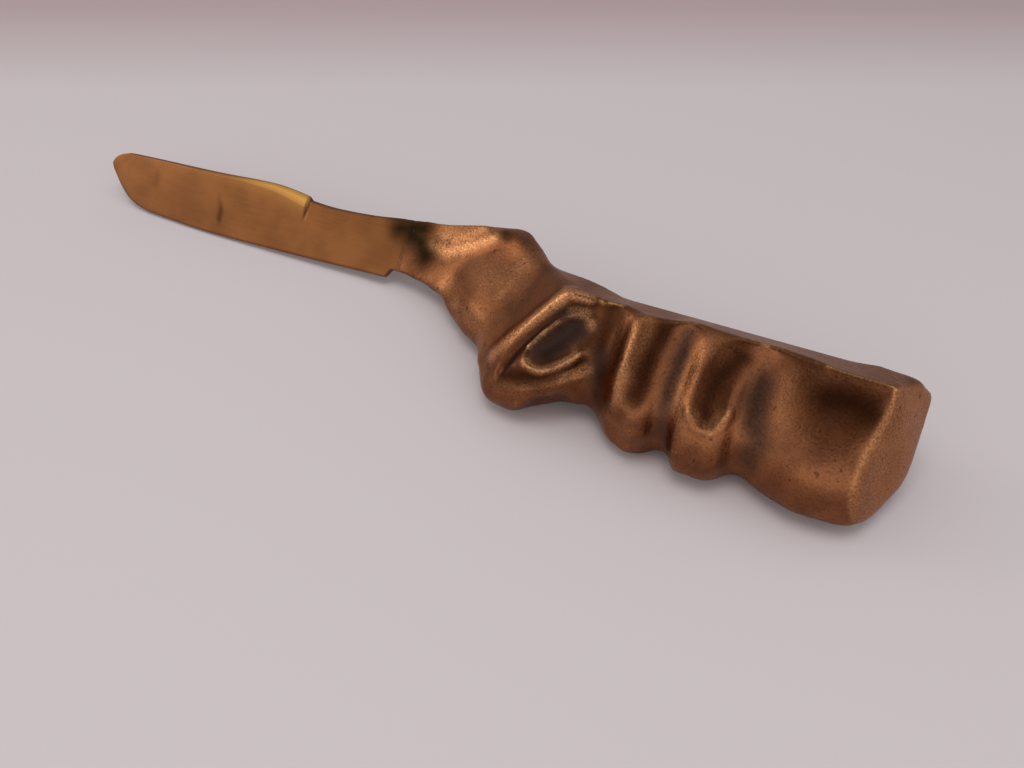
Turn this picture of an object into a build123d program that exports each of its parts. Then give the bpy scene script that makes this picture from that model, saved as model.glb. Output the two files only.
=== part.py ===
"""Cast letter opener: a finger-grooved grip, a blade let into its neck, two blind pins and a braze seam.

The object lies as it rests on a table: X runs from the blade's tip to the butt, Y to the back, Z up.
Millimetres. The origin is on the table, under the middle of the whole object.
"""

import os
from math import cos, radians, sin, tan

from build123d import *

# Lengths along the object, from the butt to the tip
block_length = 30.0  # butt end to the third finger groove
third_finger = 15.5  # third groove to the second
second_finger = 19.5  # second groove to the first
first_lobe = 18.5  # first groove to the foot of the neck
neck_length = 44.5  # foot of the neck to the mouth that takes the blade
blade_length = 105.0  # mouth to the tip

# Grip section, measured back from the foot line and up from the table
grip_height = 27.5  # table to the worn crease at the top of the front
crease_setback = 11.5
belly_reach = 6.8  # how far the ridges swell in front of the foot line
belly_height = 8.5
toe_setback = 4.0  # front end of the belly's underside
heel_setback = 17.0  # back end of that underside
rest_wear = 0.3  # metal worn off below, which leaves the flats that the grip rests on
back_reach = 26.0
back_height = 12.0
shoulder_setback = 19.7  # back edge of the strip along the top
shoulder_height = 23.2
groove_depth = 4.8  # how far a finger groove lies behind the ridges
groove_height = 11.0
groove_lift = 0.7  # gap to the table under a groove
first_groove_depth = 9.6  # the first groove is the deepest
first_groove_lift = 3.2
thumb_place = (-5.5, 2.5, 20.5)  # thumb hollow's middle, from the first groove, the foot line and the table
thumb_way = (0.6, 0.65, 0.46)  # direction of its long axis
thumb_facing = (0.2, -0.7, 0.6)  # direction that it faces
thumb_length = 25.0  # long axis of the egg that shapes it
thumb_width = 16.0  # short axis of that egg
thumb_depth = 2.6  # how far the egg is pressed in
gentle_flank = 5.5  # groove to crest on the side away from the butt
steep_flank = 4.0  # groove to crest on the butt side
first_flank = 9.0  # first groove to the crests beside it
crest_lead = 3.0  # first lobe's crest, ahead of the foot of the neck
lobe_lag = 2.5  # first lobe's front, behind the foot of the neck
block_flank = 6.0  # third groove to the rise of the block
block_crown = 17.0  # butt end to the fullest place of the block
butt_curl = 9.0  # butt end to where the block starts to draw in
facet_cut = 7.4  # how far the butt's slanted facet cuts in at the front
facet_turn = 20.0  # turn of that facet towards the front, degrees
facet_rise = 15.0  # tilt of that facet upwards, degrees
butt_round = 1.5  # rounding of the facet's edges

# Neck section, measured forward from its back and up from the table
neck_back = 43.4  # rearmost reach of the neck, behind the foot line
neck_swing = (4.6, 10.6)  # how far its back has come forward, at two places on the way to the grip
neck_depth = 28.5
neck_height = 22.3
neck_crease = 9.0
neck_shoulder = 4.0
neck_shoulder_height = 20.5
neck_belly_height = 7.0
neck_toe = 24.5
neck_heel = 11.5
neck_lift = 2.2  # gap to the table under the neck

# Blade and its seat in the neck
blade_setback = 34.8  # middle of the blade's root, behind the foot line
blade_rise = 9.75  # middle of the blade's root, above the table
blade_lean = 42.0  # lean of the blade's face from upright, degrees
blade_pitch = 1.6  # fall of the blade from the neck to the tip, degrees
blade_thickness = 2.2
root_width = 13.5
mouth_wall = 0.6  # casting left around the blade at the mouth
heel_drop = 2.3  # step down from the root to the cutting edge
edge_sag = 0.8  # further fall of the edge to its lowest place
waist_width = 15.2  # between the mouth and the filed step
belly_width = 17.9  # widest part of the blade
tip_width = 13.8
step_place = 33.1  # mouth to the filed step in the spine
step_height = 1.0
grind_depth = 0.25  # metal ground off each face beyond the step
edge_depth = 0.35  # further metal ground off towards the edge
tang_length = 28.0
tang_width = 8.0
tang_clearance = 0.1
socket_relief = 0.8  # space left beyond the end of the tang
pin_diameter = 2.4
pin_clearance = 0.05
pin_bite = 1.2  # how far a pin runs past the tang into the front wall
pin_places = (14.0, 22.5)  # from the mouth into the neck
braze_leg = 0.4  # size of the braze bead around the blade
braze_taper = 40.0  # slope of the bead, degrees

# Curves of the grip's sections: their fullness, and how the front leaves the crease, degrees below level
fullness = 0.383
section_pitch = 2.6  # spacing of the sections between the hand-set stations
ridge_fall = 32.0
plain_fall = 50.0
groove_fall = 80.0

# Places along the length
overall_length = block_length + third_finger + second_finger + first_lobe + neck_length + blade_length
butt_x = overall_length / 2
third_groove_x = butt_x - block_length
second_groove_x = third_groove_x - third_finger
first_groove_x = second_groove_x - second_finger
neck_foot_x = first_groove_x - first_lobe
mouth_x = neck_foot_x - neck_length
mouth_foot_x = mouth_x + blade_rise * tan(radians(blade_pitch))
foot_line = (belly_reach - neck_back) / 2

# Blade plane: local x runs from the mouth to the tip, local y to the spine, local z to the back
blade_axis = Vector(-cos(radians(blade_pitch)), 0, -sin(radians(blade_pitch)))
spine_way = Vector(0, sin(radians(blade_lean)), cos(radians(blade_lean)))
blade_plane = Plane(
    origin=(mouth_x, foot_line + blade_setback, blade_rise),
    x_dir=blade_axis,
    z_dir=blade_axis.cross(spine_way),
)


def across_blade(place):
    """Plane square to the blade, a distance from the mouth: local x to the spine, local y to the back."""
    return Plane(
        origin=blade_plane.origin + blade_axis * place,
        x_dir=blade_plane.y_dir,
        z_dir=blade_axis,
    )


def station(x, crease, belly, toe, heel, back, shoulder, fall=plain_fall, tilt=0.0, lean=0.0):
    """Values of one station of the grip: its place, its tangents and its six (back, up) points."""
    return x, (fall, tilt, lean, *crease, *belly, *toe, *heel, *back, *shoulder)


def ridge(x, ease=0.0, forward=0.0, wider=0.0, lift=-rest_wear, fall=ridge_fall, tilt=0.0):
    """Station at a ridge, which swells forward and rests on the table.

    It can swell less than the full reach, have its crease further forward or its top strip wider.
    """
    return station(
        x,
        crease=(crease_setback - forward, grip_height),
        belly=(ease - belly_reach, belly_height),
        toe=(toe_setback, lift),
        heel=(heel_setback, lift),
        back=(back_reach, back_height),
        shoulder=(shoulder_setback + wider, shoulder_height),
        fall=fall,
        tilt=tilt,
    )


def groove(x, depth=groove_depth, lift=groove_lift, setback=0.0, tilt=0.0):
    """Station at a finger groove, set back from the ridges and clear of the table."""
    return station(
        x,
        crease=(crease_setback + setback, grip_height),
        belly=(depth - belly_reach, groove_height),
        toe=(toe_setback + lift, lift),
        heel=(heel_setback, lift / 2),
        back=(back_reach, back_height),
        shoulder=(shoulder_setback, shoulder_height),
        fall=groove_fall,
        tilt=tilt,
    )


def neck(x, swing, tilt, lean, lift=neck_lift, height=neck_height):
    """Station of the neck, on its way from the grip back to the blade's seat."""
    back = neck_back - swing
    return station(
        x,
        crease=(back - neck_crease, height),
        belly=(back - neck_depth, neck_belly_height),
        toe=(back - neck_toe, lift),
        heel=(back - neck_heel, lift),
        back=(back, back_height),
        shoulder=(back - neck_shoulder, neck_shoulder_height),
        tilt=tilt,
        lean=lean,
    )


def seat_point(across, out):
    """Point of a neck section, from the blade's middle: across to the spine and out to the front."""
    y = blade_setback + across * sin(radians(blade_lean)) - out * cos(radians(blade_lean))
    z = blade_rise + across * cos(radians(blade_lean)) + out * sin(radians(blade_lean))
    return (y, z)


def seat(x, tilt, widen=0.0, front=0.0, back=0.0, shoulder=0.0):
    """Station of the neck around the blade's seat, swollen beyond the size of the mouth."""
    half_width = root_width / 2 + mouth_wall + widen
    mouth_out = blade_thickness / 2 + mouth_wall
    return station(
        x,
        crease=seat_point(half_width, 0.8 * (mouth_out + front)),
        belly=seat_point(1 - half_width, mouth_out + front),
        toe=seat_point(-half_width, 0.3 * (mouth_out + front)),
        heel=seat_point(-half_width, -0.3 * (mouth_out + back)),
        back=seat_point(half_width - 2, -mouth_out - back),
        shoulder=seat_point(half_width, shoulder - 0.7 * mouth_out),
        fall=90 - blade_lean,
        tilt=tilt,
        lean=blade_lean,
    )


# Stations set by hand, from the mouth to the butt
stations = [
    seat(mouth_foot_x, tilt=-blade_pitch),
    seat(mouth_x + 0.12 * neck_length, tilt=10, widen=0.3, front=0.9, back=1, shoulder=0.5),
    seat(mouth_x + 0.28 * neck_length, tilt=18, widen=2, front=3, back=1.8, shoulder=1.6),
    neck(mouth_x + 0.53 * neck_length, swing=0, tilt=22, lean=25),
    neck(mouth_x + 0.70 * neck_length, swing=neck_swing[0], tilt=18, lean=17),
    neck(mouth_x + 0.82 * neck_length, swing=neck_swing[1], tilt=20, lean=8, lift=1.8, height=23.5),
    ridge(neck_foot_x - crest_lead, ease=2.6, forward=0.3, wider=3.3, lift=0.4, fall=48, tilt=30),
    ridge(neck_foot_x + lobe_lag, ease=2, forward=0.5, wider=2.3, fall=70, tilt=27),
    ridge(first_groove_x - first_flank, ease=4, forward=0.5, wider=1.3, lift=0.8, fall=80, tilt=18),
    groove(first_groove_x, depth=first_groove_depth, lift=first_groove_lift, tilt=8),
    ridge(first_groove_x + first_flank, ease=2.9, forward=1.7, tilt=2),
    ridge(second_groove_x - gentle_flank, ease=0.6, forward=1.3),
    groove(second_groove_x, setback=0.7),
    ridge(second_groove_x + steep_flank, ease=0.4),
    ridge(third_groove_x - gentle_flank),
    groove(third_groove_x),
    ridge(third_groove_x + block_flank, ease=2.5, forward=0.5, fall=plain_fall),
    ridge(butt_x - block_crown, forward=1.5, fall=plain_fall),
    ridge(butt_x - butt_curl, ease=0.6, forward=1.8, wider=1.1, fall=plain_fall),
    ridge(butt_x, ease=3.4, forward=1.6, wider=1.1, lift=3, fall=plain_fall),
]


def slope(place, item):
    """Slope of one value at a station: level at an end or a turning point, else a mean of both sides."""
    if place in (0, len(stations) - 1):
        return 0
    (x_before, before), (x, here), (x_after, after) = stations[place - 1 : place + 2]
    coming = (here[item] - before[item]) / (x - x_before)
    going = (after[item] - here[item]) / (x_after - x)
    return 2 * coming * going / (coming + going) if coming * going > 0 else 0


def between(x):
    """Values at x on smooth curves through the stations, which never swing past a station's value."""
    place = max(place for place, (start_x, _) in enumerate(stations[:-1]) if start_x <= x)
    (start_x, starts), (end_x, ends) = stations[place : place + 2]
    span = end_x - start_x
    part = (x - start_x) / span
    values = []
    for item, (start, end) in enumerate(zip(starts, ends)):
        blend = part * part * (3 - 2 * part)
        leave = slope(place, item) * span * part * (1 - part) ** 2
        arrive = slope(place + 1, item) * span * part * part * (1 - part)
        values.append(start + (end - start) * blend + leave - arrive)
    return values


def section(x):
    """Sketch one closed section of the grip, in a plane across it that tilts towards the butt.

    The outline runs down the front to the belly, under along the resting flat, up the back to the
    shoulder and straight across the top strip to the crease.
    """
    fall, tilt, lean, *numbers = between(x)
    points = [Vector(y, z / cos(radians(tilt))) for y, z in zip(numbers[::2], numbers[1::2])]
    leaving = Vector(-cos(radians(fall)), -sin(radians(fall)))
    down = Vector(-sin(radians(lean)), -cos(radians(lean)))
    under = Vector(cos(radians(lean)), -sin(radians(lean)))
    arriving = (points[5] - points[4]).normalized()
    ways = [leaving, down, under, under, -down, arriving]
    plane = Plane(
        origin=(x, foot_line, 0),
        x_dir=(0, 1, 0),
        z_dir=(cos(radians(tilt)), 0, -sin(radians(tilt))),
    )
    with BuildSketch(plane) as outline:
        with BuildLine():
            for start, end, way_out, way_in in zip(points, points[1:], ways, ways[1:]):
                pull = fullness * (end - start).length
                Bezier(start, start + way_out * pull, end - way_in * pull, end)
            Line(points[5], points[0])
        make_face()
    return outline.sketch


# Solid form of the casting, before its socket is cut
section_count = round((butt_x - mouth_foot_x) / section_pitch)
section_step = (butt_x - mouth_foot_x) / section_count
facet_way = Vector(
    cos(radians(facet_turn)) * cos(radians(facet_rise)),
    -sin(radians(facet_turn)) * cos(radians(facet_rise)),
    sin(radians(facet_rise)),
)
facet_plane = Plane(origin=(butt_x - facet_cut, foot_line - belly_reach, belly_height), z_dir=facet_way)
thumb_middle = Vector(first_groove_x, foot_line, 0) + Vector(thumb_place)
thumb_out = Vector(thumb_facing).normalized() * (thumb_width / 2 - thumb_depth)
thumb_plane = Plane(
    origin=thumb_middle + thumb_out,
    x_dir=thumb_way,
    z_dir=Vector(thumb_way).cross(thumb_out),
)
with BuildPart() as grip_form:
    loft([section(mouth_foot_x + section_step * place) for place in range(section_count + 1)])
    with BuildSketch(thumb_plane):
        Ellipse(thumb_length / 2, thumb_width / 2)
        split(bisect_by=Plane.XZ)
    revolve(axis=Axis(thumb_plane.origin, thumb_plane.x_dir), mode=Mode.SUBTRACT)
    split(bisect_by=facet_plane, keep=Keep.BOTTOM)
    split(bisect_by=Plane.XY, keep=Keep.TOP)
    facet = faces().filter_by(lambda face: face.normal_at().dot(facet_way) > 0.999)
    fillet(facet.edges(), butt_round)

# Blade, with its tang
root_low = -root_width / 2
edge_low = root_low - heel_drop - edge_sag
waist = (0.7 * step_place, edge_low + waist_width)
step_foot = (step_place, waist[1] + 0.5)
step_top = (step_place + 2, step_foot[1] + step_height)
crown = (0.44 * blade_length, edge_low + belly_width)
slack = (0.62 * blade_length, edge_low + belly_width - 0.6)
tip_top = (blade_length - 6.5, edge_low + belly_width - 1.1)
tip = (blade_length, edge_low + tip_width)
tip_low = (blade_length - 13, edge_low + 2)
edge_far = (0.55 * blade_length, edge_low)
heel_low = (4, root_low - heel_drop)
heel_high = (2.4, root_low)
with BuildPart() as blade:
    with BuildSketch(blade_plane):
        with BuildLine():
            Spline((0, -root_low), waist, step_foot)
            Line(step_foot, step_top)
            Spline(step_top, crown, slack, tip_top)
            Bezier(tip_top, (tip[0] - 1, tip_top[1] - 0.2), (tip[0] + 0.3, tip[1] + 1.2), tip)
            Bezier(tip, (tip[0] - 1, tip[1] - 4.5), (tip_low[0] + 5, tip_low[1] + 1.6), tip_low)
            Spline(tip_low, edge_far, heel_low)
            Polyline(heel_low, heel_high, (0, root_low), (0, -root_low))
        make_face()
    extrude(amount=blade_thickness / 2, both=True)
    # Both faces are ground thinner beyond the step, and thinner again towards the edge
    for side in (1, -1):
        flat = side * (blade_thickness / 2 - grind_depth)
        clear = side * blade_thickness
        with BuildSketch(across_blade(step_place + 1)):
            with BuildLine():
                Polyline(
                    (belly_width, flat),
                    (0, flat),
                    (edge_low, flat - side * edge_depth),
                    (edge_low, clear),
                    (belly_width, clear),
                    close=True,
                )
            make_face()
        extrude(amount=blade_length, mode=Mode.SUBTRACT)
    with BuildSketch(across_blade(0)):
        Rectangle(tang_width, blade_thickness)
    extrude(amount=-tang_length)
    with BuildSketch(blade_plane):
        with Locations(*[(-place, 0) for place in pin_places]):
            Circle(pin_diameter / 2 + pin_clearance)
    extrude(amount=blade_thickness, both=True, mode=Mode.SUBTRACT)
blade.part.label = "blade"

# Casting, with the socket for the tang and the blind holes drilled from behind
pin_front = blade_plane.offset(-blade_thickness / 2 - pin_bite)
pin_reach = 2 * neck_back
with BuildPart() as handle_casting:
    add(grip_form.part)
    with BuildSketch(across_blade(0)):
        Rectangle(tang_width + 2 * tang_clearance, blade_thickness + 2 * tang_clearance)
    extrude(amount=-tang_length - socket_relief, mode=Mode.SUBTRACT)
    with BuildSketch(pin_front.offset(-pin_clearance)):
        with Locations(*[(-place, 0) for place in pin_places]):
            Circle(pin_diameter / 2 + pin_clearance)
    extrude(amount=pin_reach, mode=Mode.SUBTRACT)
handle_casting.part.label = "handle_casting"

# Pins, driven in from behind and filed flush with the neck
with BuildPart() as tang_pins:
    with BuildSketch(pin_front):
        with Locations(*[(-place, 0) for place in pin_places]):
            Circle(pin_diameter / 2)
    extrude(amount=pin_reach)
    add(grip_form.part, mode=Mode.INTERSECT)
tang_pins.part.label = "tang_pins"

# Bead of braze on the rim of the mouth, all round the blade
with BuildPart() as braze_seam:
    with BuildSketch(across_blade(0)):
        Rectangle(root_width + 2 * braze_leg, blade_thickness + 2 * braze_leg)
    extrude(amount=braze_leg, taper=braze_taper)
    add(blade.part, mode=Mode.SUBTRACT)
braze_seam.part.label = "braze_seam"

os.makedirs("parts", exist_ok=True)
for piece in (handle_casting, blade, tang_pins, braze_seam):
    export_step(piece.part, f"parts/{piece.part.label}.step")
    box = piece.part.bounding_box()
    print(piece.part.label, round(piece.part.volume), "mm3", box.min, box.max)
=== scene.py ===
# %% [markdown]
# # A cast bronze letter opener
# The object is a bronze grip, squeezed by a hand before it was cast, with a flat blade set into its neck.
# The solids of the frame already have the real sizes and places. This lesson gives them their looks: the
# worn casting, the satin blade, the small joint between them, the table and the light.

# %% Load the frame
from math import atan2, cos, hypot, radians, sin

import bmesh
import bpy
import numpy as np
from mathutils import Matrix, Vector


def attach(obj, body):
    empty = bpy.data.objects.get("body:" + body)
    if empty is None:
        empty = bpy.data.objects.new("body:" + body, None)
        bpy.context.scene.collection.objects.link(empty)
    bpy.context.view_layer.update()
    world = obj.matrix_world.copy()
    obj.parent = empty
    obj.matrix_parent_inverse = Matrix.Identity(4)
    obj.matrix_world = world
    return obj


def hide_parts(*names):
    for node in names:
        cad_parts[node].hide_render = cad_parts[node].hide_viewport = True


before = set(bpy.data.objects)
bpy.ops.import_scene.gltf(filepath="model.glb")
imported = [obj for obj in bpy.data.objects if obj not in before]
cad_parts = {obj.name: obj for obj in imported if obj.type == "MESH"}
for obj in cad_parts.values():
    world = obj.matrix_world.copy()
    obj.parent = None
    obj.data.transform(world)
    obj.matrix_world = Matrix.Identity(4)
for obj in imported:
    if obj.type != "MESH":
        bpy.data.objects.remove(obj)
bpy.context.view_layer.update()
mm = 0.001

# %% [markdown]
# Operators act on whatever is selected, and the frame arrives selected. Three small helpers keep that in
# hand: one selects a single object, one selects the points of a mesh that pass a test, and one finishes a
# closed shell, by merging its doubled points and turning its faces outward.


# %% Selection helpers
def select_only(thing):
    """Leave object mode with one object selected and active."""
    bpy.ops.object.select_all(action="DESELECT")
    thing.select_set(True)
    bpy.context.view_layer.objects.active = thing


def select_points(thing, test):
    """In edit mode, select the points whose place passes the test, and say how many there are."""
    bpy.ops.mesh.select_mode(type="VERT")
    bpy.ops.mesh.select_all(action="DESELECT")
    mesh = bmesh.from_edit_mesh(thing.data)
    chosen = [point for point in mesh.verts if test(point.co)]
    for point in chosen:
        point.select = True
    mesh.select_flush(True)
    bmesh.update_edit_mesh(thing.data)
    return len(chosen)


def close_shell(thing, gap):
    """Merge the points of a shell that lie within a gap, and turn its faces outward."""
    select_only(thing)
    bpy.ops.object.mode_set(mode="EDIT")
    bpy.ops.mesh.select_all(action="SELECT")
    bpy.ops.mesh.remove_doubles(threshold=gap)
    bpy.ops.mesh.normals_make_consistent(inside=False)
    bpy.ops.object.mode_set(mode="OBJECT")


# %% [markdown]
# The camera has the photograph's viewing angle: about a hand's length in front of the grip, looking down at
# forty degrees. The focal length is known in pixels of a picture 1024 wide, so it is turned into
# millimetres here.

# %% Camera
camera_place = Vector((103.8, -150.2, 132.0)) * mm
camera_turn = radians(27)
camera_drop = radians(40)
focal_pixels = 900
picture_width = 1024

bpy.ops.object.camera_add(location=camera_place, rotation=(radians(90) - camera_drop, 0, camera_turn))
camera = bpy.context.object
camera.data.lens = focal_pixels / picture_width * camera.data.sensor_width
camera.data.clip_start = 10 * mm
bpy.context.scene.camera = camera
print("lens", round(camera.data.lens, 2), "mm")

# %% [markdown]
# Every colour is written as it looks on a screen, as a hex value, and one function turns it to the linear
# numbers that the shader wants. One more function adds a node, sets its values, links its inputs and hands
# back the output that is asked for.


# %% Colour and node helpers
def linear(hex_colour):
    """Linear RGBA of an sRGB hex colour."""
    channels = [int(hex_colour[place : place + 2], 16) / 255 for place in (1, 3, 5)]
    curve = [((level + 0.055) / 1.055) ** 2.4 if level > 0.04045 else level / 12.92 for level in channels]
    return curve + [1]


def add_node(tree, kind, settings=None, out=0, **inputs):
    """Add a node, set its properties, set or link its inputs, and return one of its outputs.

    An input goes by its name, with _ for a space, or by n and its number.
    """
    node = tree.nodes.new("ShaderNode" + kind)
    for name, value in (settings or {}).items():
        setattr(node, name, value)
    for name, value in inputs.items():
        numbered = name[0] == "n" and name[1:].isdigit()
        socket = node.inputs[int(name[1:]) if numbered else name.replace("_", " ")]
        if isinstance(value, bpy.types.NodeSocket):
            tree.links.new(value, socket)
        else:
            socket.default_value = value
    return node.outputs[out] if node.outputs else None


def new_tree(owner):
    """Empty node tree of a material or a world."""
    owner.use_nodes = True
    owner.node_tree.nodes.clear()
    return owner.node_tree


# %% [markdown]
# The table is one pale matte sheet. A plane is enough for it, because only its soft shadow is of interest.
# Far behind the object the sheet turns a little darker and pinker, so its colour is blended along one
# direction of its own coordinates.

# %% Table
sheet_size = 6000 * mm
far_start = 330 * mm
far_end = 425 * mm

away = Vector((-sin(camera_turn), cos(camera_turn), 0))
bpy.ops.mesh.primitive_plane_add(size=sheet_size)
sheet = bpy.context.object
sheet.name = "table_sheet"

# Matte card: hardly any gloss, so the eye sees its pale colour and the soft shadow on it.
card = bpy.data.materials.new("matte_card")
tree = new_tree(card)
place = add_node(tree, "TexCoord", out="Object")
behind = add_node(tree, "VectorMath", {"operation": "DOT_PRODUCT"}, "Value", n0=place, n1=away)
start = away.dot(camera_place)
depth = add_node(tree, "MapRange", Value=behind, From_Min=start + far_start, From_Max=start + far_end)
tone = add_node(tree, "Mix", {"data_type": "RGBA"}, 2, n0=depth, n6=linear("#cbc3c4"), n7=linear("#b4a2a4"))
surface = add_node(tree, "BsdfPrincipled", Base_Color=tone, Roughness=0.9, Specular_IOR_Level=0.2)
add_node(tree, "OutputMaterial", Surface=surface)
sheet.data.materials.append(card)
print("sheet", sheet_size, "m wide")

# %% [markdown]
# Metal shows its surroundings more than its own colour, so the light is mostly a soft room. It is pale all
# round, brighter in front than behind, with a darker zone overhead that gives the upward faces their depth.
# Each of the two is a blend by the angle from one direction.

# %% Room
dark_middle = Vector((0.02, -0.36, 0.93)).normalized()
dark_border, dark_core = 0.78, 0.98
bright_side = Vector((0.4, -0.92, 0))
side_limit = 0.8
dim_level, bright_level = 0.4, 1.2

room = bpy.data.worlds.new("soft_room")
bpy.context.scene.world = room
tree = new_tree(room)
direction = add_node(tree, "TexCoord", out="Generated")
facing = add_node(tree, "VectorMath", {"operation": "DOT_PRODUCT"}, "Value", n0=direction, n1=dark_middle)
covered = add_node(
    tree, "MapRange", {"interpolation_type": "SMOOTHSTEP"},
    Value=facing, From_Min=dark_border, From_Max=dark_core,
)
tone = add_node(tree, "Mix", {"data_type": "RGBA"}, 2, n0=covered, n6=linear("#fdfbfd"), n7=linear("#8c8282"))
aside = add_node(tree, "VectorMath", {"operation": "DOT_PRODUCT"}, "Value", n0=direction, n1=bright_side)
level = add_node(
    tree, "MapRange", Value=aside,
    From_Min=-side_limit, From_Max=side_limit, To_Min=dim_level, To_Max=bright_level,
)
background = add_node(tree, "Background", Color=tone, Strength=level)
add_node(tree, "OutputWorld", Surface=background)
print("room from", dim_level, "to", bright_level)

# %% [markdown]
# A wide lamp on the left adds the warm glints on the neck: it stands where the neck's facets mirror it. A
# panel over the table brightens the table and the shadows. The metal doesn't mirror the panel, because its
# image would lie as a white patch on the upward faces. Both stand well away, so they are placed in metres.

# %% Lamps
lamp_place = Vector((-0.85, -0.1, 0.5))
bpy.ops.object.light_add(type="AREA", location=lamp_place)
lamp = bpy.context.object
lamp.name = "left_window"
lamp.data.shape = "RECTANGLE"
lamp.data.size = 0.5
lamp.data.size_y = 0.4
lamp.data.energy = 0.95
lamp.data.color = linear("#fff4e8")[:3]
lamp.rotation_euler = (-lamp_place).to_track_quat("-Z", "Y").to_euler()

panel_place = Vector((0.08, -0.2, 0.68))
bpy.ops.object.light_add(type="AREA", location=panel_place)
panel = bpy.context.object
panel.name = "ceiling_panel"
panel.data.size = 0.35
panel.data.energy = 1.6
panel.visible_glossy = False
print("lamps", lamp.data.energy, "and", panel.data.energy, "W")

# %% [markdown]
# The blade leans back and drops a little to its tip. So places near it are told from the middle of the
# mouth, where it leaves the neck, in three distances of its own: along to the tip, across to the spine and
# out of its front face. The same distances tell which walls of the casting are hidden in the socket.

# %% Distances from the mouth
blade_lean = radians(42)
blade_pitch = radians(1.6)
mouth_middle = Vector((-11.5, 16.5, 9.75)) * mm
to_tip = Vector((-cos(blade_pitch), 0, -sin(blade_pitch)))
to_back = to_tip.cross(Vector((0, sin(blade_lean), cos(blade_lean)))).normalized()
to_spine = to_back.cross(to_tip)
socket_depth, socket_half_width, socket_half_height = 29.6, 4.45, 1.5
mouth_margin = 0.2
pin_places = (14, 22.5)
pin_radius = 1.4


def blade_point(along, across, out):
    """Point at three distances from the mouth: to the tip, to the spine and out in front, in millimetres."""
    return mouth_middle + (to_tip * along + to_spine * across - to_back * out) * mm


def from_mouth(place):
    """The same three distances of a place, in millimetres."""
    offset = (place - mouth_middle) / mm
    return offset.dot(to_tip), offset.dot(to_spine), -offset.dot(to_back)


def hidden(place):
    """Is a place on the wall of the socket or of a pin hole?"""
    along, across, out = from_mouth(place)
    in_slot = abs(across) < socket_half_width and abs(out) < socket_half_height
    in_socket = in_slot and -socket_depth < along < mouth_margin
    in_hole = any(hypot(along + pin, across) < pin_radius for pin in pin_places)
    return in_socket or in_hole and out < 2 * socket_half_height


print("blade points to", [round(share, 3) for share in to_tip])

# %% [markdown]
# The grip is a free form, pressed by fingers and then cast. Modelling it from a box would only repeat the
# solid of the frame, so the piece starts as a copy of that solid. Its triangles are merged, and the hidden
# socket and pin holes are closed: their faces go and the openings are filled. A remesh modifier, in the mode
# that keeps sharp edges, then gives small even quads that can be pushed about.

# %% Copy the casting and give it even quads
casting_gap = 0.01 * mm

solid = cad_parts["handle_casting"]
grip = solid.copy()
grip.data = solid.data.copy()
grip.parent = None
grip.name = "bronze_grip"
bpy.context.scene.collection.objects.link(grip)
select_only(grip)
grip.data.materials.clear()
bpy.ops.object.mode_set(mode="EDIT")
bpy.ops.mesh.select_all(action="SELECT")
bpy.ops.mesh.remove_doubles(threshold=casting_gap)
closed = select_points(grip, hidden)
bpy.ops.mesh.delete(type="ONLY_FACE")
bpy.ops.mesh.select_all(action="SELECT")
bpy.ops.mesh.delete_loose()
bpy.ops.mesh.select_all(action="SELECT")
bpy.ops.mesh.fill_holes(sides=0)
bpy.ops.object.mode_set(mode="OBJECT")
even = grip.modifiers.new("even", "REMESH")
even.mode = "SHARP"
even.octree_depth = 9
even.scale = 0.6
bpy.ops.object.modifier_apply(modifier="even")
print("grip", closed, "hidden points closed,", len(grip.data.vertices), "points after the remesh")

# %% [markdown]
# The solid's edges are crisper than fingers leave them. A bevel would need clean edges to follow, which a
# remeshed skin doesn't have, so every point is evened out a little with its neighbours instead.


# %% Soften the edges
def pick(chosen):
    """Open edit mode with only the given points of the grip selected."""
    select_only(grip)
    bpy.ops.object.mode_set(mode="EDIT")
    bpy.ops.mesh.select_mode(type="VERT")
    bpy.ops.mesh.select_all(action="DESELECT")
    mesh = bmesh.from_edit_mesh(grip.data)
    mesh.verts.ensure_lookup_table()
    for index in chosen:
        mesh.verts[index].select = True
    mesh.select_flush(True)
    bmesh.update_edit_mesh(grip.data)


def soften(chosen, rounds):
    """Even out the given points of the grip."""
    pick(chosen)
    bpy.ops.mesh.vertices_smooth(factor=0.5, repeat=rounds)
    bpy.ops.object.mode_set(mode="OBJECT")


soften(range(len(grip.data.vertices)), rounds=3)
print("grip softened")

# %% [markdown]
# What fingers, files and dirt did to the casting runs along lines on its skin, and so do the painted
# highlights and shade. Each line here is a path through a few corners, in millimetres. One helper finds the
# points of the skin under a path, and another measures how far places are from it.

# %% Lines on the skin
path_steps = np.linspace(0, 1, 9)
least_length_squared = 0.01


def skin_places(thing):
    """Places of an object's points, in millimetres."""
    places = np.empty(len(thing.data.vertices) * 3)
    thing.data.vertices.foreach_get("co", places)
    return places.reshape(-1, 3) / mm


def laid(path, places):
    """Indices of the places nearest to the steps of a path through a few corners, in millimetres."""
    corners = np.array(path, float)
    sides = zip(corners, corners[1:])
    steps = [start + (end - start) * share for start, end in sides for share in path_steps]
    return sorted({int(np.argmin(((places - step) ** 2).sum(axis=1))) for step in steps})


def distance_to(path, places, skin):
    """Distance of each place from a path whose corners are laid on a skin, in millimetres."""
    nearest = np.full(len(places), np.inf)
    corners = [skin[np.argmin(((skin - corner) ** 2).sum(axis=1))] for corner in np.array(path, float)]
    for start, end in zip(corners, corners[1:]):
        side = end - start
        share = np.clip((places - start) @ side / max(side @ side, least_length_squared), 0, 1)
        nearest = np.minimum(nearest, np.linalg.norm(places - start - share[:, None] * side, axis=1))
    return nearest


print("paths have", len(path_steps), "steps a side")

# %% [markdown]
# A hand pressed the model while it was soft. Each press here is a path on the skin, a push in millimetres
# and a reach: the points under the path move the whole way and their neighbours follow less and less, which
# is proportional editing. A rub is a path, a reach and a number of rounds: it evens out the skin along the
# path, as a thumb does, in three turns that each reach less far, so that its border doesn't show.

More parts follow.
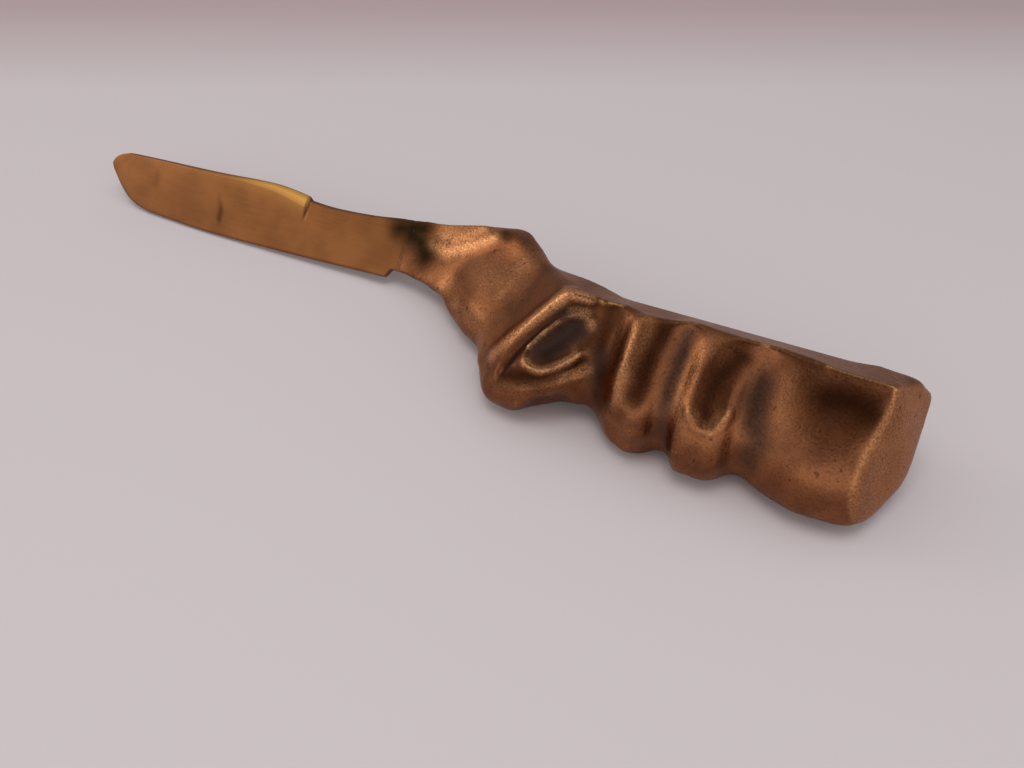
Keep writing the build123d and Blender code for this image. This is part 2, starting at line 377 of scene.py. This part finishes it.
# %% Press and rub
rub_shares = (1, 0.8, 0.6)


def press(path, push, reach):
    """Move the skin under a path by a push, with a soft reach, all in millimetres."""
    pick(laid(path, skin_places(grip)))
    bpy.ops.transform.translate(
        value=Vector(push) * mm,
        use_proportional_edit=True,
        proportional_edit_falloff="SMOOTH",
        proportional_size=reach * mm,
    )
    bpy.ops.object.mode_set(mode="OBJECT")


def rub(path, reach, rounds):
    """Even out the skin within a reach of a path."""
    places = skin_places(grip)
    distance = distance_to(path, places, places)
    for share in rub_shares:
        soften(np.flatnonzero(distance < reach * share), rounds)


print("a rub has", len(rub_shares), "turns")

# %% [markdown]
# The thumb lobe comes first, with the upper edge of the neck that runs into it. A round crest climbs along
# its left side and a flank falls away beside it, later darkened by a painted dark reflection. To the right
# lies the hollow of the thumb, with a raised rim and sill, and a band and a belly close the lobe below.

# %% Thumb lobe
neck_edge = [
    (14.7, 18.3, 21), (18.5, 17.1, 22), (22.1, 15.3, 22.1), (26.5, 11.5, 22.1), (32.6, 5.8, 22.7),
    (38.4, -1.2, 24.8),
]
lobe_foot = [
    (41.3, -5.4, 25.2), (38.8, -7.3, 22.2), (36, -9.7, 18.9), (32.8, -11.8, 15.2), (28.8, -14.7, 8.5),
]
lobe_face = [(39, -18, 16.5), (43, -15.5, 18.5), (48, -11, 22.5)]
crest = [(43.3, -6.6, 26.3), (39.6, -8.9, 22.3), (36.6, -10.9, 19), (33.4, -12.8, 15.5), (30.2, -14.6, 11.4)]
flank = [
    (49.5, -8.2, 26), (45.6, -9.5, 25.4), (42.6, -10.9, 23.3), (40, -13, 20.6), (36.7, -16.7, 16.3),
    (34.8, -19.2, 12.7),
]
band = [(35, -20.4, 11.6), (40.4, -21.7, 13.3), (44.2, -21, 13.4), (48.6, -17.5, 14.9), (51.1, -15.1, 16)]
hollow = [(43.1, -16.1, 17.8), (45.1, -13.8, 19.2), (47.4, -11.3, 22)]
rim = [(39.6, -16.6, 18.4), (42.1, -13.8, 21.6), (44, -12, 23.3), (45.7, -10.4, 24.4)]
sill = [
    (40.2, -19.9, 16.3), (41.9, -20.1, 15.5), (43.8, -19.9, 15.2), (47, -17.4, 16.2), (49.6, -14.9, 17.4),
]
lip = [(46.2, -10, 24.5), (49, -8.9, 24.2), (50.2, -9.7, 22.6)]
lobe_under = [(43.5, -19, 2.5), (46, -17.6, 2.5)]
lobe_arch = [(44, -21.2, 6.6), (47, -19.3, 7.2)]
lobe_side = [(26.7, -12.8, 7.1), (28.3, -15.5, 6.3), (31, -19.3, 6.8)]
lobe_belly = [
    (35.6, -22.2, 9.9), (39, -22.8, 10.3), (42.7, -22.4, 11.1), (45.6, -20.7, 12.3), (48.4, -18.6, 13.3),
]

rub(neck_edge, 4.0, 36)
rub(lobe_foot, 5.0, 20)
rub(lobe_face, 8.0, 8)
press(crest, (-0.4, -0.3, 0.6), 4.2)
press(flank, (0.4, 0.5, -0.8), 3.0)
press(band, (-0.2, 0.7, -0.4), 2.8)
press(hollow, (-0.3, 0.8, -0.8), 5.0)
press(rim, (-0.1, -0.2, 0.4), 1.6)
press(sill, (0.1, -0.4, 0.3), 2.2)
press(lip, (0.1, -0.3, 0.2), 2.2)
press(lobe_under, (0, 1.6, 2.0), 6.5)
press(lobe_arch, (0, 1.4, 1.0), 5.0)
press(lobe_side, (-0.9, -0.5, 0), 5.0)
rub(crest, 2.4, 2)
rub(flank, 2.6, 5)
rub(band, 2.4, 2)
rub(lobe_belly, 3.0, 10)
rub(sill, 1.8, 1)
print("thumb lobe pressed and rubbed")

# %% [markdown]
# Two ridges stand between the finger grooves. The crest of the first is raised and its flank pressed in. The
# crest of the next is rubbed broad, and beside it a fingertip left a print with a small lip below.

# %% Finger ridges
second_foot = [(59.4, -9.5, 26), (58.5, -12.9, 22.3), (57.8, -15.4, 18.7), (57.5, -17.5, 14.9)]
second_crest = [
    (61.8, -8.9, 27.2), (61.3, -13, 24.4), (60.8, -16.4, 21.3), (60.4, -19, 17.9), (60.8, -20.9, 14.8),
]
second_flank = [(65.8, -9.9, 26.2), (65.3, -14.4, 23.4), (65.1, -19.1, 19.8), (64.5, -20.8, 18)]
second_low = [(62.6, -23.3, 7.3), (65.5, -24, 6.4), (67.8, -21.7, 4.8)]
second_groove = [
    (70.2, -7.3, 25.2), (70.1, -10, 22.1), (70, -12.2, 20.6), (70.7, -18, 16.4), (71, -20.6, 8.8),
]
third_crest = [
    (75.2, -8.7, 26.4), (74.1, -10.8, 24.5), (72.9, -12.6, 21.4), (73.1, -18.4, 17.7), (74.4, -22.9, 14.6),
]
third_print = [(81.6, -9.8, 25.5), (79, -14.8, 22.8), (78.4, -18.7, 20.1), (79.1, -21, 18.1)]
third_lip = [(76, -21.1, 17.9), (77.9, -22.3, 16.6), (80.4, -22.5, 16.3), (82.7, -19.1, 18.6)]

rub(second_foot, 4.5, 24)
press(second_crest, (-0.3, -0.4, 0.5), 4.0)
press(second_flank, (0, 0.5, -0.6), 4.0)
press(second_low, (0, 1.0, 0.6), 5.0)
rub(second_crest, 3.0, 8)
rub(second_flank, 4.5, 10)
rub(second_groove, 3.6, 4)
rub(third_crest, 5.0, 36)
press(third_print, (0, 0.5, -0.6), 4.2)
press(third_lip, (0, -0.4, 0.3), 2.2)
rub(third_print, 4.5, 8)
print("finger ridges pressed and rubbed")

# %% [markdown]
# The block behind the fingers swells a little in its middle. On the neck a low ridge is raised along the
# front and the underside is drawn up. The butt was ground off flat, and handling has rounded its edges.

# %% Block, neck and butt
block_side = [(91, -10, 24), (91.5, -14.5, 20.6), (93, -19, 17)]
block_middle = [(96.4, -17.1, 19.8), (100.8, -17, 20.4), (105.9, -17.2, 20.2)]
neck_ridge = [(-3, 15.5, 12.5), (2.5, 14.5, 12.8), (7.9, 15.7, 15.7), (13.8, 16.7, 19.3)]
neck_under = [(12, -1.1, 6.6), (16.2, -4.5, 6.7), (19.7, -6.8, 6.2)]
butt_middle = [(111.8, -9.5, 18), (114.2, -7, 11)]
butt_edge = [
    (108.9, -13.9, 22.3), (108.1, -18.4, 19), (107.9, -21.3, 16.3), (108.6, -23.3, 12.5), (109.2, -24, 8.6),
]
butt_foot = [(115.8, -4, 8), (115, -10.8, 5.5), (114, -14.4, 4), (112, -18.5, 3.5)]
butt_back = [(115.5, 14, 8), (115.4, 8, 14)]
butt_top = [(113.8, -1, 22.5), (113, 2, 23.5)]

rub(block_side, 7.0, 16)
press(block_middle, (0, -0.4, 0.4), 9.0)
press(neck_ridge, (-0.1, -0.3, 0.3), 4.0)
press(neck_under, (0.8, 1.1, 0.8), 6.0)
press(butt_middle, (0.8, -0.3, 0.2), 10.0)
rub(butt_edge, 5.0, 30)
rub(butt_foot, 7.0, 40)
rub(butt_back, 6.0, 16)
rub(butt_top, 7.0, 30)
print("block, neck and butt pressed and rubbed")

# %% [markdown]
# At the mouth the casting was filed down to the blade after brazing, so that the two faces run into each
# other. The rim is drawn in towards the blade's own faces over the last few millimetres. The blade will
# start 3 mm inside the mouth, so that no gap opens under the rim.

# %% Draw in the rim of the mouth
rim_reach = 7.0
rim_depth = 8
rim_half_height = 1.02
rim_slope = 0.06
rim_half_width = 6.7
for point in grip.data.vertices:
    along, across, out = from_mouth(point.co)
    nearness = min(max(1 + along / rim_reach, 0), 1) ** 2
    if nearness > 0 and abs(out) < rim_depth:
        target = blade_point(
            along,
            min(max(across, -rim_half_width), rim_half_width),
            min(max(out, -rim_half_height + rim_slope * along), rim_half_height - rim_slope * along),
        )
        point.co = point.co.lerp(target, nearness)
print("rim drawn in over", rim_reach, "mm")

# %% [markdown]
# The blade was hammered from a strip and filed: thin at the edge, with a step and a nick in the spine and a
# bevel that starts at the nick and dies away to the tip. Its outline is a few stations, each with its place
# along the blade and its distance from the axis, and a smooth line through them that never overshoots.


# %% Blade outline
def flow(stations, places):
    """Values of a smooth line through (place, value) stations, without overshoot, at the given places."""
    at, value = np.array(stations, float).T
    step = np.diff(at)
    rise = np.diff(value) / step
    slope = np.concatenate([rise[:1], np.zeros(len(at) - 2), rise[-1:]])
    for index in range(1, len(at) - 1):
        before, after = rise[index - 1], rise[index]
        if before * after > 0:
            slope[index] = 2 * before * after / (before + after)
    cell = np.clip(np.searchsorted(at, places) - 1, 0, len(step) - 1)
    share = (places - at[cell]) / step[cell]
    ease = share * share * (3 - 2 * share)
    bend = share * (1 - share) * step[cell]
    eased = value[cell] * (1 - ease) + value[cell + 1] * ease
    return eased + bend * (slope[cell] * (1 - share) - slope[cell + 1] * share)


blade_start, blade_length = -3, 104.5
root_spine = [(blade_start, 6.75), (0, 6.75)]
spine_line = [(12, 5.8), (23.2, 5.35), (31.6, 5.8), (33.6, 6.85), (46.2, 8.05), (65.1, 7.45), (98.5, 6.95)]
spine_tip = [(100.6, 6.5), (102.6, 5.7), (103.8, 4.6), (104.35, 3.6), (blade_length, 2.7)]
root_edge = [(blade_start, -6.75), (0, -6.75), (2.4, -6.75)]
edge_line = [(4, -9.05), (58, -9.85), (86, -8.6), (90, -7.95), (93.5, -6.9), (96.5, -5.3)]
edge_tip = [(99.6, -3), (102.2, -0.6), (103.7, 0.9), (104.35, 1.8), (blade_length, 2.7)]

# The columns stand closest at the root, at the nick and at the tip, where the outline turns.
columns = np.concatenate([
    np.linspace(blade_start, 6, 19),
    np.linspace(7, 30, 24),
    np.linspace(30.5, 35, 19),
    np.linspace(36, 97, 41),
    blade_length - 8 * np.linspace(0.9, 0, 10) ** 2,
])
spine = flow(root_spine + spine_line + spine_tip, columns)
edge = flow(root_edge + edge_line + edge_tip, columns)
print("blade", round(float((spine - edge).max()), 1), "mm high in", len(columns), "columns")

# %% [markdown]
# Across the blade the rows lie close together at the edge and at the shoulder of the bevel, where the face
# turns, and wide apart on the plain face. Each row has its share of the full half thickness, and its share
# of the bright bevel: filed metal with a painted highlight over it.

# %% Blade rows
bevel_line = [
    (blade_start, 0.5), (31.5, 0.6), (33.5, 3.2), (45, 2.2), (60, 1.1), (80, 0.6), (blade_length, 0.4),
]
half_line = [(blade_start, 1.1), (0, 1.1), (20, 1.08), (60, 0.92), (blade_length, 0.85)]
bright_line = [
    (blade_start, 0), (32.6, 0), (33.6, 1), (46, 0.8), (64, 0.25), (85, 0.1), (blade_length, 0),
]
full_width = 12
edge_rows = (0, 0.5, 1.2)
face_start = 2.2
face_rows = (0, 0.16, 0.32, 0.5, 0.66, 0.82)
shoulder_turn, spine_turn = 0.3, 0.2
row_thickness = [0.2, 0.5, 0.62, 0.72, 0.86, 0.95, 1, 1, 1, 1, 0.98, 0.7, 0.44, 0.26]
row_brightness = [0] * 8 + [0.05, 0.2, 0.5, 1, 0.8, 0]

taper = np.clip((spine - edge) / full_width, 0, 1)
shoulder = spine - flow(bevel_line, columns) * taper
low = edge + face_start * taper
rows = [edge + reach * taper for reach in edge_rows]
rows += [low + (shoulder - low) * share for share in face_rows]
rows += [shoulder - shoulder_turn * taper, shoulder]
rows += [(shoulder + spine) / 2, spine - spine_turn * taper, spine]
half = flow(half_line, columns)
bright = flow(bright_line, columns)
print("blade", len(rows), "rows")

# %% [markdown]
# A flat grid with those columns and rows is extruded to a second face, and every point then moves to its
# place. The nick is a short notch across the front of the spine. At the tip the rows meet in one point, so
# doubled points are merged there.

# %% Blade solid
nick_place, nick_width, nick_depth, nick_length = 32.6, 0.8, 0.55, 5.5
thinning_reach = 12
blade_gap = 0.02 * mm


def keep_value(thing, name, values):
    """Store one value for each point of an object, between nought and one."""
    layer = thing.data.attributes.new(name, "FLOAT", "POINT")
    layer.data.foreach_set("value", np.clip(values, 0, 1).astype(np.float32))
    print(thing.name, name, "up to", round(float(values.max()), 2))


bpy.ops.object.select_all(action="DESELECT")
bpy.ops.mesh.primitive_grid_add(x_subdivisions=len(columns) - 1, y_subdivisions=len(rows) - 1, size=2)
blade = bpy.context.object
blade.name = "satin_blade"
bpy.ops.object.mode_set(mode="EDIT")
bpy.ops.mesh.select_all(action="SELECT")
bpy.ops.mesh.extrude_region_move(TRANSFORM_OT_translate={"value": (0, 0, 1)})
bpy.ops.object.mode_set(mode="OBJECT")
filed_and_highlight = np.zeros(len(blade.data.vertices))
# The grid runs from -1 to 1, so a point's place gives its column and row. The raised face is the front.
for index, point in enumerate(blade.data.vertices):
    column = round((point.co.x + 1) / 2 * (len(columns) - 1))
    row = round((point.co.y + 1) / 2 * (len(rows) - 1))
    along, across = columns[column], rows[row][column]
    out = half[column] * (1 - (1 - row_thickness[row]) * min(1, max(along, 0) / thinning_reach))
    if point.co.z > 0.5:
        # The bevel's brightness is filed metal with a painted highlight.
        filed_and_highlight[index] = bright[column] * row_brightness[row]
        nick = max(0, 1 - abs(along - nick_place) / nick_width)
        depth = max(0, 1 - (spine[column] - across) / nick_length)
        out -= nick_depth * nick * min(1, 2 * depth)
    else:
        out = -out
    point.co = blade_point(along, across, out)
keep_value(blade, "filed_and_highlight", filed_and_highlight)
close_shell(blade, blade_gap)
print("blade", len(blade.data.vertices), "points")

# %% [markdown]
# The bead of braze is a thin ring round the blade's root. A torus has the right faces from the start: its
# round way becomes the outline of the root and its thickness a low fillet on the blade.

# %% Bead of braze
bead_half_width, bead_half_height, bead_rise, bead_reach = 6.78, 1.1, 0.03, 0.8
ring_thickness = 0.25
flat_ends, flat_faces = 1.3, 8
bead_gap = 0.005 * mm

bpy.ops.object.select_all(action="DESELECT")
bpy.ops.mesh.primitive_torus_add(
    major_segments=96, minor_segments=10, major_radius=1, minor_radius=ring_thickness
)
bead = bpy.context.object
bead.name = "braze_bead"
# The ring's round way is squared off, so that it follows the flat outline of the root.
for point in bead.data.vertices:
    angle = atan2(point.co.y, point.co.x)
    rise = (hypot(point.co.x, point.co.y) - 1) / ring_thickness * bead_rise
    across = np.clip(flat_ends * cos(angle), -1, 1) * (bead_half_width + rise)
    out = np.clip(flat_faces * sin(angle), -1, 1) * (bead_half_height + rise)
    point.co = blade_point(point.co.z / ring_thickness * bead_reach, across, out)
close_shell(bead, bead_gap)
print("bead", len(bead.data.vertices), "points")

# %% [markdown]
# Handling polishes what stands out and leaves dirt in what lies deep. The worn edges are measured on the
# grip itself: the skin is averaged with its neighbours, and each point keeps how far it stands out of the
# average. The filed mouth, the butt and the neck's upper edge take less of this wear.

# %% Worn edges
wear_start, wear_range = 0.03, 0.09
filed_reach, filed_fade = 1.5, 3
butt_start, butt_fade, strip_height = 106, 2, 25.5

places = skin_places(grip)
count = len(places)
normals = np.empty(count * 3)
grip.data.vertices.foreach_get("normal", normals)
normals = normals.reshape(-1, 3)
ends = np.empty(len(grip.data.edges) * 2, dtype=np.int32)
grip.data.edges.foreach_get("vertices", ends)
ends = ends.reshape(-1, 2)
ends = np.concatenate([ends, ends[:, ::-1]])
neighbours = np.bincount(ends[:, 0], minlength=count)


def averaged(values, rounds):
    """Values of the points, averaged with their neighbours for a number of rounds."""
    for _ in range(rounds):
        total = [np.bincount(ends[:, 0], column[ends[:, 1]], count) for column in values.T]
        values = (values + np.array(total).T / neighbours[:, None]) / 2
    return values


def painted(places, strokes, skin):
    """Strongest of some strokes on a skin at each place, each a path with a reach and a strength."""
    paint = np.zeros(len(places))
    for path, reach, strength in strokes:
        ease = np.clip(1 - distance_to(path, places, skin) / reach, 0, 1)
        paint = np.maximum(paint, strength * ease * ease * (3 - 2 * ease))
    return paint


fine = ((places - averaged(places, rounds=4)) * normals).sum(axis=1)
worn = (averaged(fine[:, None], rounds=1)[:, 0] - wear_start) / wear_range
to_mouth = np.array([-from_mouth(point.co)[0] for point in grip.data.vertices])
off_mouth = np.clip((to_mouth - filed_reach) / filed_fade, 0, 1)
off_butt = np.clip(np.maximum((butt_start - places[:, 0]) / butt_fade, places[:, 2] - strip_height), 0, 1)
off_neck = 1 - painted(places, [(neck_edge, 4.5, 0.85)], places)
keep_value(grip, "wear", worn * off_mouth * off_butt * off_neck)
print("edges stand out up to", round(fine.max(), 3), "mm")

# %% [markdown]
# The broader polish, the dark tarnish and the grey grime are strokes along the paths that were pressed
# before and along a few more, each with a reach and a strength. The polish strokes are partly the rub of
# hands and partly painted highlights, and the tarnish strokes are partly real tarnish and partly painted
# dark reflections and shade. The ground facet of the butt is polished all over, and painted brighter by the
# way it faces, which is a painted highlight.

# %% Polish, tarnish and grime of the grip
neck_facet = [(-1, 17.6, 15), (4, 17, 15.6), (8, 17.5, 17), (12.5, 18, 19.6)]
neck_glint = [(23.7, 0.9, 15.1), (25.3, 4.2, 17.2)]
neck_face = [(14, 9, 13.6), (19, 5, 15.2), (25, 4, 17.2), (27, 9, 20.6)]
neck_low = [(5, 7.8, 8.1), (12.1, 1.4, 8.9), (20, -5, 9.2), (25.3, -10.1, 8.8)]
neck_notch = [(16, 17.8, 21.2), (18.5, 15.5, 20.6)]
lobe_tip = [(42.3, -7.6, 24.8), (44.3, -6.7, 26.6), (48.5, -6.4, 26.8)]
lobe_speckle = [(48.3, -18.6, 13.3), (52.3, -14.8, 15.2)]
valley = [(53.6, -7.6, 26), (53.3, -8.9, 22.9), (53.9, -11.3, 19.6), (54.9, -14.6, 15.8)]
valley_foot = [(54.4, -13, 17), (55, -16.2, 11.6)]
third_groove = [
    (86.9, -11.1, 21.4), (86.5, -13.9, 19.5), (87.5, -17, 17.3), (89.1, -19.6, 14.7), (88.6, -20.7, 10.4),
]
block_shade = [(98.4, -12.4, 23.6), (103, -12, 24.2), (107.5, -13.3, 23)]
block_brow = [(91, -9, 25.8), (98, -10, 25.5)]
# Painted highlights: the glints on the neck and the bright bands along the crests, sill and lip.
polish_and_highlight = [
    (crest, 3.4, 1), (sill, 1.6, 0.55), (lip, 1.9, 0.6), (lobe_tip, 2.3, 1), (rim, 0.45, 0.35),
    (lobe_speckle, 2.2, 0.3), (lobe_belly, 3.0, 0.1), (neck_facet, 4.6, 0.6), (neck_ridge, 3.2, 0.9),
    (neck_glint, 2.6, 0.5), (neck_low, 5.0, 0.4), (neck_face, 8.0, 0.28), (second_crest, 3.4, 0.42),
    (third_crest, 3.8, 0.25), (third_lip, 2.2, 0.35), (block_side, 3.0, 0.1),
]
# Painted dark reflections and shade: the flanks, band, print, block face and brow, neck notch and valley.
tarnish_and_painted_shade = [
    (flank, 4.0, 1), (band, 4.4, 1), (second_flank, 4.0, 0.85), (third_print, 4.0, 0.75),
    (block_shade, 6.5, 0.85), (block_brow, 5.0, 0.4), (neck_notch, 2.2, 0.6), (hollow, 6.4, 0.9),
    (valley, 5.5, 0.9),
]
grime = [(hollow, 6.4, 1), (second_groove, 3.0, 0.85), (third_groove, 4.8, 0.85), (valley_foot, 4.0, 0.7)]
facet_normal = (0.91, -0.33, 0.26)
facet_start, facet_falloff, facet_highlight = 105, 3, 0.35

# Painted highlight: the ground butt facet is painted brighter by how far it faces one way.
turned = 1 - facet_falloff * (1 - normals @ facet_normal)
butt_facet_highlight = np.clip(turned, 0, facet_highlight) * (places[:, 0] > facet_start)
keep_value(grip, "polish_and_highlight", np.maximum(painted(places, polish_and_highlight, places), butt_facet_highlight))
keep_value(grip, "tarnish_and_painted_shade", painted(places, tarnish_and_painted_shade, places))
keep_value(grip, "grime", painted(places, grime, places))

# %% [markdown]
# The blade is darker along its spine, with painted shade in the nick, and has two small stains. Painted
# shade also lies where the blade meets the neck: it runs over neck, bead and blade alike, so its strokes are
# laid on the skin of grip and blade joined.

# %% Stains of the blade and the painted shade at the join
blade_spine = [tuple(blade_point(along, across, 0) / mm) for along, across in spine_line]
blade_stain = [(-73.4, 15.1, 7.7), (-72.4, 13.8, 6.2)]
stain_foot = [(-72.2, 13.4, 5.7), (-71.6, 12.7, 4.9)]
tip_stain = [(-98.2, 16.8, 8.9), (-97.8, 15.4, 7.4)]
nick_line = [tuple(blade_point(nick_place - 0.3, across, 1) / mm) for across in (5.8, 1.5)]
# Painted shade in the nick; the spine is drawn darker, and the rest are stains.
stains_and_painted_shade = [
    (blade_spine, 0.9, 0.7), (blade_stain, 0.9, 0.35), (stain_foot, 1.9, 0.8), (tip_stain, 2.2, 0.3),
    (nick_line, 0.6, 0.7),
]
# Painted shade where the blade meets the neck, laid as two strokes.
join_shade_patch = [(-14.5, 18.2, 13.2), (-8, 18.9, 14.9)]
join_shade_run = [(-11, 17.8, 13.2), (-7, 15.8, 12.2), (-4.5, 13.8, 10.6)]
join_shade_strokes = [(join_shade_patch, 6.5, 1), (join_shade_run, 7.5, 1)]

blade_skin = skin_places(blade)
keep_value(blade, "tarnish_and_painted_shade", painted(blade_skin, stains_and_painted_shade, blade_skin))
joined = np.concatenate([places, blade_skin])
for piece in (grip, blade, bead):
    keep_value(piece, "painted_join_shade", painted(skin_places(piece), join_shade_strokes, joined))

# %% [markdown]
# The casting has a brown skin, mottled, with a fine grain from the mould. It is golden where hands rubbed it
# and where highlights are painted, dark where the tarnish stayed and where dark reflections and shade are
# painted, grey and dull in the hollows, and pricked with small dark flecks. Painted shade also darkens the
# neck where the blade meets it. Each of these is a layer of colour, laid over the others by its own mask.


# %% Cast bronze
def layered(tree, base, layers):
    """A base colour with layers of colour over it, each by its own mask."""
    skin = linear(base)
    for mask, colour in layers:
        skin = add_node(tree, "Mix", {"data_type": "RGBA"}, 2, n0=mask, n6=skin, n7=linear(colour))
    return skin


# Sand-cast bronze, patinated and handled: a warm brown metal with broken, grainy highlights and gold edges.
# The sand of a mould is finer than this grain, which is drawn at about half a millimetre so that it shows.
cast = bpy.data.materials.new("cast_bronze")
tree = new_tree(cast)
place = add_node(tree, "TexCoord", out="Object")
wear, polish_and_highlight_mask, tarnish_and_shade_mask, grime_mask, join_shade_mask = [
    add_node(tree, "Attribute", {"attribute_name": name}, "Fac")
    for name in ("wear", "polish_and_highlight", "tarnish_and_painted_shade", "grime", "painted_join_shade")
]
grain = add_node(tree, "TexNoise", Vector=place, Scale=1 / (0.6 * mm), Detail=3)
mottle = add_node(tree, "TexNoise", Vector=place, Scale=1 / (6 * mm), Detail=5)
sand = add_node(tree, "TexNoise", Vector=place, Scale=1 / (0.4 * mm), Detail=2)
specks = add_node(tree, "TexNoise", Vector=place, Scale=1 / (1.4 * mm), Detail=1)
patches = add_node(tree, "MapRange", Value=mottle, From_Min=0.35, From_Max=0.65)
dark_sand = add_node(tree, "MapRange", Value=sand, From_Min=0.55, From_Max=0.36, To_Max=0.3)
bright_sand = add_node(tree, "MapRange", Value=sand, From_Min=0.4, From_Max=0.62, To_Min=0.35)
gritty = add_node(tree, "MapRange", Value=grain, From_Min=0.3, From_Max=0.62, To_Min=1, To_Max=0.6)
flecks = add_node(tree, "MapRange", Value=specks, From_Min=0.68, From_Max=0.75, To_Max=0.6)
polish_and_highlight_shine = add_node(tree, "Math", {"operation": "MULTIPLY"}, n0=polish_and_highlight_mask, n1=bright_sand)
edge_shine = add_node(tree, "Math", {"operation": "MULTIPLY"}, n0=wear, n1=bright_sand)
grit = add_node(tree, "Math", {"operation": "MULTIPLY"}, n0=grime_mask, n1=gritty)
skin = layered(tree, "#754931", [
    (patches, "#8e5a39"),
    (dark_sand, "#482a1a"),
    # Tarnish, and painted dark reflections and shade.
    (tarnish_and_shade_mask, "#351b0e"),
    # Polish and painted highlights.
    (polish_and_highlight_shine, "#dc9d6a"),
    (grit, "#26201d"),
    (edge_shine, "#e5af74"),
    # Painted shade where the blade meets the neck.
    (join_shade_mask, "#241a0d"),
    (flecks, "#402619"),
])
metal_share = add_node(tree, "MapRange", Value=grit, To_Min=1, To_Max=0.7)
dullness = add_node(tree, "MapRange", Value=grain, From_Min=0.3, From_Max=0.7, To_Min=0.25, To_Max=0.37)
roughness = add_node(tree, "Math", {"operation": "MULTIPLY_ADD"}, n0=grit, n1=0.22, n2=dullness)
height = add_node(tree, "Math", {"operation": "MULTIPLY_ADD"}, n0=flecks, n1=-0.4, n2=grain)
normal = add_node(tree, "Bump", Strength=0.9, Distance=0.07 * mm, Height=height)
surface = add_node(
    tree, "BsdfPrincipled", Base_Color=skin, Metallic=metal_share, Roughness=roughness, Normal=normal,
    Specular_Tint=linear("#f2e2da"),
)
add_node(tree, "OutputMaterial", Surface=surface)
print("cast bronze", len(tree.nodes), "nodes")

# %% [markdown]
# The blade was filed and rubbed along its length, so it has a satin sheen with fine lines that run from the
# root to the tip, cloudy brown patches from handling, two darker stains, a darker spine with painted shade in
# the nick, and a bright filed bevel with a painted highlight along it.

# %% Satin bronze
# Wrought bronze, filed and rubbed lengthwise: a soft even sheen, streaked along the blade. The lines of a
# fine file are closer than these, which are drawn a third of a millimetre apart so that they show.
satin = bpy.data.materials.new("satin_bronze")
tree = new_tree(satin)
place = add_node(tree, "TexCoord", out="Object")
filed_and_highlight_mask, tarnish_and_shade_mask, join_shade_mask = [
    add_node(tree, "Attribute", {"attribute_name": name}, "Fac") for name in ("filed_and_highlight", "tarnish_and_painted_shade", "painted_join_shade")
]
drawn = add_node(tree, "Mapping", Vector=place, Scale=(0.03, 1, 1))
lines = add_node(tree, "TexNoise", Vector=drawn, Scale=1 / (0.35 * mm), Detail=3)
clouds = add_node(tree, "TexNoise", Vector=place, Scale=1 / (9 * mm), Detail=4)
streaks = add_node(tree, "MapRange", Value=lines, From_Min=0.35, From_Max=0.65, To_Max=0.2)
patches = add_node(tree, "MapRange", Value=clouds, From_Min=0.35, From_Max=0.65)
skin = layered(tree, "#7d4e2d", [
    (patches, "#8e5b34"),
    (streaks, "#a06f42"),
    # Filed bevel with a painted highlight over it.
    (filed_and_highlight_mask, "#e2a958"),
    # Stains, the darker spine and painted shade in the nick.
    (tarnish_and_shade_mask, "#422816"),
    # Painted shade at the root, where the blade meets the neck.
    (join_shade_mask, "#2c2011"),
])
roughness = add_node(tree, "MapRange", Value=lines, From_Min=0.3, From_Max=0.7, To_Min=0.32, To_Max=0.44)
normal = add_node(tree, "Bump", Strength=0.35, Distance=0.02 * mm, Height=lines)
surface = add_node(tree, "BsdfPrincipled", Base_Color=skin, Metallic=1, Roughness=roughness, Normal=normal)
add_node(tree, "OutputMaterial", Surface=surface)
print("satin bronze", len(tree.nodes), "nodes")

# %% [markdown]
# The bead of braze was filed down with the neck, so it has the same brown, with a few brassy spots and the
# painted shade of the join over it. The pins were filed off flush behind the neck: short bright scratches on
# brown.

# %% Braze and pins
# Brazing bronze, filed: brown as the neck, with yellower spots where the file went deeper.
braze = bpy.data.materials.new("filed_braze")
tree = new_tree(braze)
place = add_node(tree, "TexCoord", out="Object")
join_shade_mask = add_node(tree, "Attribute", {"attribute_name": "painted_join_shade"}, "Fac")
blots = add_node(tree, "TexNoise", Vector=place, Scale=1 / (1.2 * mm), Detail=3)
spots = add_node(tree, "MapRange", Value=blots, From_Min=0.45, From_Max=0.7)
normal = add_node(tree, "Bump", Strength=0.4, Distance=0.03 * mm, Height=blots)
# Painted shade of the join over the bead.
skin = layered(tree, "#7c4e32", [(spots, "#925f3c"), (join_shade_mask, "#2c2011")])
surface = add_node(tree, "BsdfPrincipled", Base_Color=skin, Metallic=1, Roughness=0.38, Normal=normal)
add_node(tree, "OutputMaterial", Surface=surface)

# Pin bronze, filed flush: bright scratches all one way on brown.
pin_finish = bpy.data.materials.new("filed_pin_bronze")
tree = new_tree(pin_finish)
place = add_node(tree, "TexCoord", out="Object")
drawn = add_node(tree, "Mapping", Vector=place, Scale=(0.1, 1, 0.1))
scratches = add_node(tree, "TexNoise", Vector=drawn, Scale=1 / (0.2 * mm), Detail=2)
bright_lines = add_node(tree, "MapRange", Value=scratches, From_Min=0.45, From_Max=0.65)
skin = layered(tree, "#885835", [(bright_lines, "#c59158")])
surface = add_node(tree, "BsdfPrincipled", Base_Color=skin, Metallic=1, Roughness=0.36)
add_node(tree, "OutputMaterial", Surface=surface)
print("braze and pins finished")

# %% [markdown]
# Each new piece takes its finish and smooth shading, rides on the one body of the frame and hides the solid
# that it stands for. The pins keep their own solid and only change their finish.

# %% Give the pieces their finish
for piece, node, slot, finish in (
    (grip, "handle_casting", "bronze_casting", cast),
    (blade, "blade", "satin_blade", satin),
    (bead, "braze_seam", "braze", braze),
):
    piece.data.materials.append(finish)
    select_only(piece)
    bpy.ops.object.shade_smooth()
    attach(piece, "root")
    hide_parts(node)
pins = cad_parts["tang_pins"]
pins.data.materials.clear()
pins.data.materials.append(pin_finish)
print("finishes", [finish.name for finish in (cast, satin, braze, pin_finish)])

# %% View transform
bpy.context.scene.view_settings.view_transform = "Standard"
